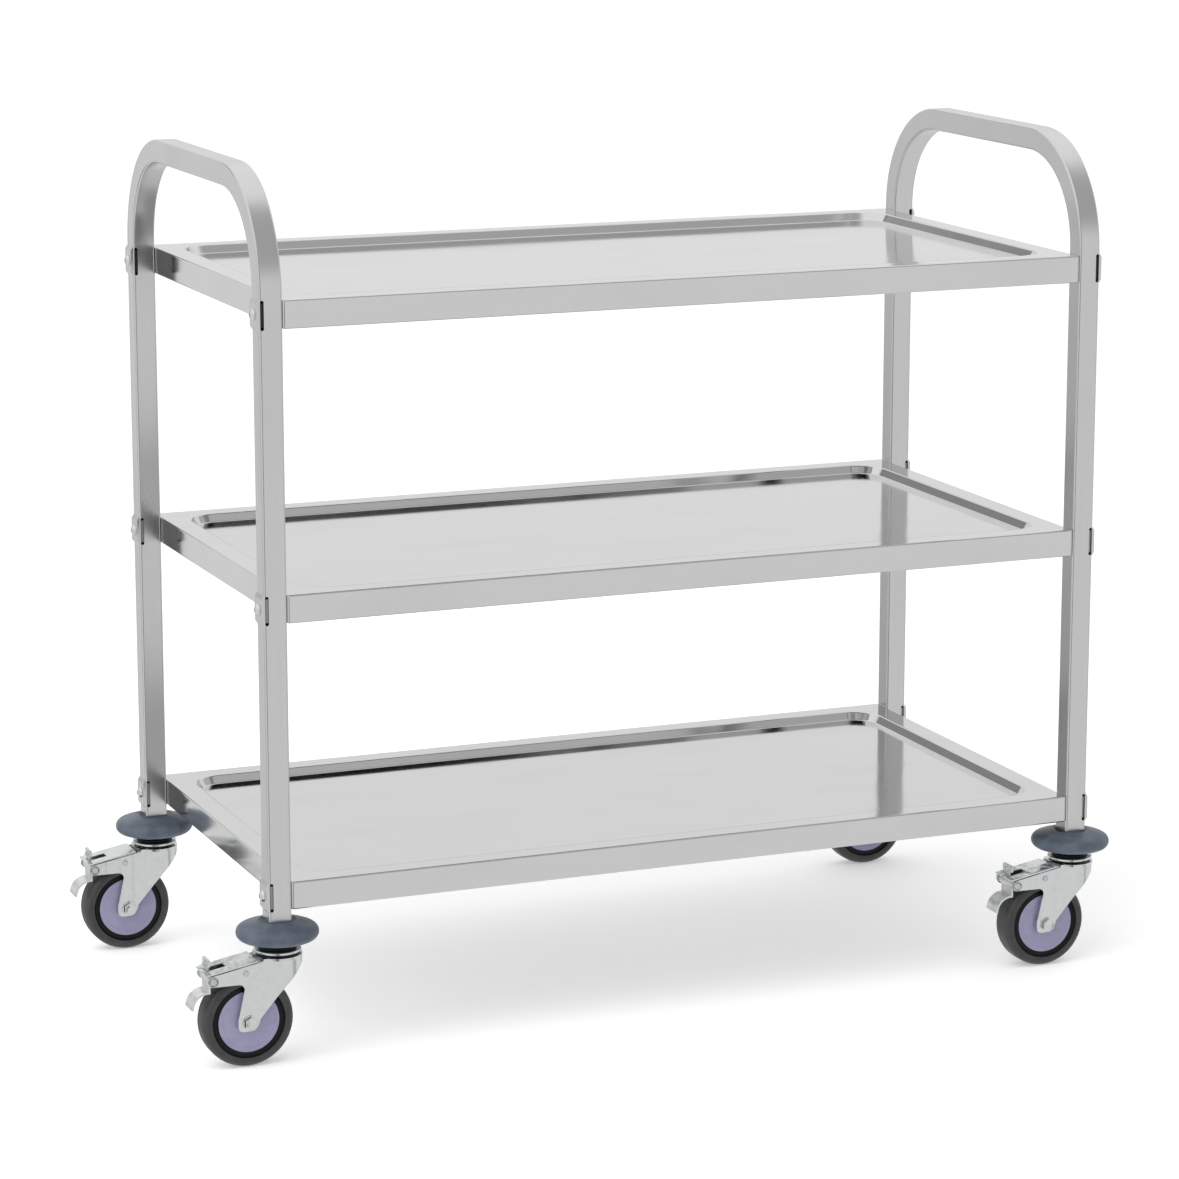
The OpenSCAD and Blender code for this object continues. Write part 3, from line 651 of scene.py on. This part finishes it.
def tyre(corner):
    """Tyre with round shoulders, a fine tread line each side and a bead groove painted black as its
    shade.
    """
    at = JOINTS[f"roll_{corner}"]
    outer, half_w, shoulder, painted_shade_r = WHEEL_D / 2, WHEEL_W / 2, 8.0, 39.7
    bead = [(37.02, 11.6), (37.8, 11.7), (38.6, 12.2), (39.2, 13.1), (39.6, 14.1), (40.1, 14.75),
            (40.9, 15.0)]
    side = arc(outer - shoulder, half_w - shoulder, shoulder, 90, 12, 12)
    tread = [(outer - 0.18, 5.3), (outer - 0.02, 4.9), (outer, 4.4), (outer, 0.0)]
    half = bead + side + tread
    section = half + [(r, -y) for r, y in reversed(half[:-1])]
    bm = lathe(section, 144, "Y")
    # Painted shade: the bead inside this radius is painted black, for the shade in the groove next to
    # the hub.
    for f in bm.faces:
        c = f.calc_center_median()
        if math.hypot(c.x, c.z) < painted_shade_r:
            f.material_index = 1
    piece(bm, f"tyre_{corner}_tread", f"wheel_{corner}", TYRE_RUBBER,
          (f"tyre_{corner}",), at=at, second=BLACK_RUBBER_AND_PAINTED_SHADE)


def coil(radius, wire, pitch, turns):
    """A close spring coil standing on its own plane."""
    sides, steps_a_turn = 10, 28
    bm = bmesh.new()
    ring = bmesh.ops.create_circle(bm, cap_ends=False, segments=sides, radius=wire)["verts"]
    bmesh.ops.rotate(bm, verts=ring, cent=(0, 0, 0), matrix=Matrix.Rotation(math.pi / 2, 3, "X"))
    bmesh.ops.translate(bm, verts=ring, vec=(radius, 0, wire))
    steps = int(steps_a_turn * turns)
    bmesh.ops.spin(bm, geom=list(bm.verts) + list(bm.edges), cent=(0, 0, 0), axis=(0, 0, 1),
                   dvec=(0, 0, pitch * turns / steps), angle=math.tau * turns, steps=steps)
    bmesh.ops.holes_fill(bm, edges=[e for e in bm.edges if e.is_boundary], sides=sides)
    bmesh.ops.recalc_face_normals(bm, faces=bm.faces)
    return bm


def brake(corner):
    """Pedal, release tab with its nut, and the spring coils round the ends of the pivot."""
    body = f"brake_{corner}"
    piece(copied(f"pedal_{corner}"), f"pedal_{corner}_plate", body, PALE_ZINC,
          (f"pedal_{corner}",), edge=0.6)
    piece(copied(f"tab_{corner}"), f"tab_{corner}_leaf", body, PALE_ZINC,
          (f"tab_{corner}",), edge=0.6)
    low, high = (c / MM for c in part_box(f"tab_{corner}"))
    nut_drop, stud_r = 5.6, 1.7
    stud = lathe([(0.0, 1.8), (stud_r, 1.8), (stud_r, 3.2), (stud_r - 0.4, 3.6), (0.0, 3.6)], 32)
    nut = turned(joined(moved(hex_head(6.0, 2.4, 0.5), z=-0.2), stud), -90, "Y")
    piece(nut, f"tab_{corner}_nut", body, ZINC,
          at=Vector((low.x, (low.y + high.y) / 2, high.z - nut_drop)))
    coils = [moved(turned(coil(4.85, 0.42, 0.9, 2.2), 90 * side, "X"), y=-side * FORK_OUT)
             for side in (1, -1)]
    piece(joined(*coils), f"spring_{corner}_coils", f"swivel_{corner}", PIN_STEEL,
          at=JOINTS[f"pedal_{corner}"])


seals()
for corner_name in CORNERS:
    bumper(corner_name)
    cup(corner_name)
    fork(corner_name)
    axle(corner_name)
    hub(corner_name)
    tyre(corner_name)
    brake(corner_name)

for node, finish in (("joint_spacers", SPACER_BLOCK_AND_SLOT_SHADE), ("shelf_nuts", BRIGHT_STEEL),
                     ("stem_plugs", BLACK_RUBBER_AND_PAINTED_SHADE), ("bearing_balls", BRIGHT_STEEL),
                     *[(f"stem_{c}", PIN_STEEL) for c in CORNERS],
                     *[(f"sleeve_{c}", PIN_STEEL) for c in CORNERS]):
    slots = frame["nodes"][node].data.materials
    slots.clear()
    slots.append(finish)


# ------------------------------------------------------------------ studio

def floor():
    """White floor with a faint shadow. Reflections see the studio below it instead."""
    bm = bmesh.new()
    bmesh.ops.create_grid(bm, x_segments=1, y_segments=1, size=FLOOR_REACH)
    mesh = bpy.data.meshes.new("floor")
    bm.to_mesh(mesh)
    bm.free()
    paint = Finish("pale_floor", Roughness=0.9, Specular_IOR_Level=0.0,
                   Emission_Color=grey(1.0), Emission_Strength=0.34)
    tone = paint.noise(0.8, detail=3.0)
    mesh.materials.append(paint.wear(paint.mix(tone, grey(0.90), grey(0.88))))
    made = bpy.data.objects.new("floor", mesh)
    made.visible_glossy = False
    bpy.context.scene.collection.objects.link(made)


def backdrop():
    """White wall that closes the floor's far edge. It gives no light, shade or reflection."""
    bm = bmesh.new()
    bmesh.ops.create_circle(bm, cap_ends=False, segments=64, radius=0.8 * FLOOR_REACH)
    raised = bmesh.ops.extrude_edge_only(bm, edges=list(bm.edges))["geom"]
    bmesh.ops.translate(bm, verts=[g for g in raised if isinstance(g, bmesh.types.BMVert)],
                        vec=(0, 0, FLOOR_REACH))
    mesh = bpy.data.meshes.new("backdrop")
    bm.to_mesh(mesh)
    bm.free()
    paint = Finish("white_backdrop", Base_Color=grey(0.0), Roughness=1.0, Specular_IOR_Level=0.0,
                   Emission_Color=grey(1.0), Emission_Strength=1.1)
    mesh.materials.append(paint.material)
    made = bpy.data.objects.new("backdrop", mesh)
    made.visible_glossy = made.visible_diffuse = made.visible_shadow = False
    bpy.context.scene.collection.objects.link(made)


def light(name, place, target, size, power):
    data = bpy.data.lights.new(name, "AREA")
    data.shape, data.size, data.size_y, data.energy = "RECTANGLE", size[0], size[1], power
    made = bpy.data.objects.new(name, data)
    made.location = place
    made.rotation_euler = (Vector(target) - Vector(place)).to_track_quat("-Z", "Y").to_euler()
    made.visible_glossy = False
    bpy.context.scene.collection.objects.link(made)


class Studio(Shading):
    """A white tent all round, a little greyer low down, with soft dark openings in it."""

    def __init__(self, world):
        super().__init__(world, "Generated")
        self.height = Value(self, self.node("ShaderNodeSeparateXYZ", None, {
            "Vector": self.coords}).outputs["Z"])
        level = self.node("ShaderNodeVectorMath", {"operation": "MULTIPLY"}, {
            0: self.coords, 1: (1, 1, 0)}).outputs[0]
        self.level = self.node("ShaderNodeVectorMath", {"operation": "NORMALIZE"}, {
            0: level}).outputs[0]

    def facing(self, direction, towards, wide, narrow):
        """1 within the narrow angle of a direction, 0 outside the wide one, in degrees."""
        dot = self.node("ShaderNodeVectorMath", {"operation": "DOT_PRODUCT"}, {
            0: direction, 1: Vector(towards).normalized()}).outputs["Value"]
        return self.ramp(dot, math.cos(math.radians(wide)), math.cos(math.radians(narrow)))

    def upright(self, heading, wide, narrow, depth, low=-0.7, high=0.5):
        """How much an upright opening on this heading, in degrees from +Y to +X, lets through."""
        turn = math.radians(heading)
        strip = self.facing(self.level, (math.sin(turn), math.cos(turn), 0), wide, narrow)
        tall = self.ramp(self.height, low - 0.04, low + 0.04) \
            * (1 - self.ramp(self.height, high - 0.03, high + 0.03))
        return 1 - strip * tall * depth


def studio():
    world = bpy.data.worlds.new("studio")
    bpy.context.scene.world = world
    tent = Studio(world)
    glow = 0.80 + tent.ramp(tent.height, -0.1, 0.1) * 0.05 + tent.ramp(tent.height, 0.3, 0.55) * 0.15
    glow = glow * (1 - tent.facing(tent.coords, (0.30, -0.62, 0.72), 44, 16) * 0.52)
    # Each opening's heading, wide and narrow angles and depth, and some have a foot and a top
    openings = ((198, 14, 7, 0.90), (124, 9, 4, 0.50), (50, 12, 6, 0.50),
                (-38, 17, 7, 0.66, -0.5, -0.13), (-28, 12, 5, 0.66, 0.16, 0.44))
    for opening in openings:
        glow = glow * tent.upright(*opening)
    tent.put(tent.tree.nodes["Background"].inputs["Strength"], glow)
    tent.put(tent.tree.nodes["Background"].inputs["Color"], grey(1.0))


floor()
backdrop()
light("top_panel", (-1.2, -1.0, 3.2), (0.0, 0.0, 0.4), (2.6, 2.0), 30.0)
light("side_panel", (-3.4, -0.6, 1.6), (0.0, 0.0, 0.5), (1.6, 2.0), 18.0)
studio()

# Camera towards the front from the left, a little above the top shelf
yaw, pitch, distance = math.radians(-22.31), math.radians(12.05), 4.618
aim = Vector((0.00325, 0.0, 0.4266))
look = Vector((-math.sin(yaw) * math.cos(pitch), math.cos(yaw) * math.cos(pitch),
               -math.sin(pitch)))
lens = bpy.data.cameras.new("camera")
lens.lens, lens.sensor_width = 125.02, 36.0
lens.clip_start, lens.clip_end = 0.1, 100.0
camera = bpy.data.objects.new("camera", lens)
camera.location = aim - look * distance
camera.rotation_euler = look.to_track_quat("-Z", "Y").to_euler()
bpy.context.scene.collection.objects.link(camera)
bpy.context.scene.camera = camera
bpy.context.scene.view_settings.view_transform = "Standard"
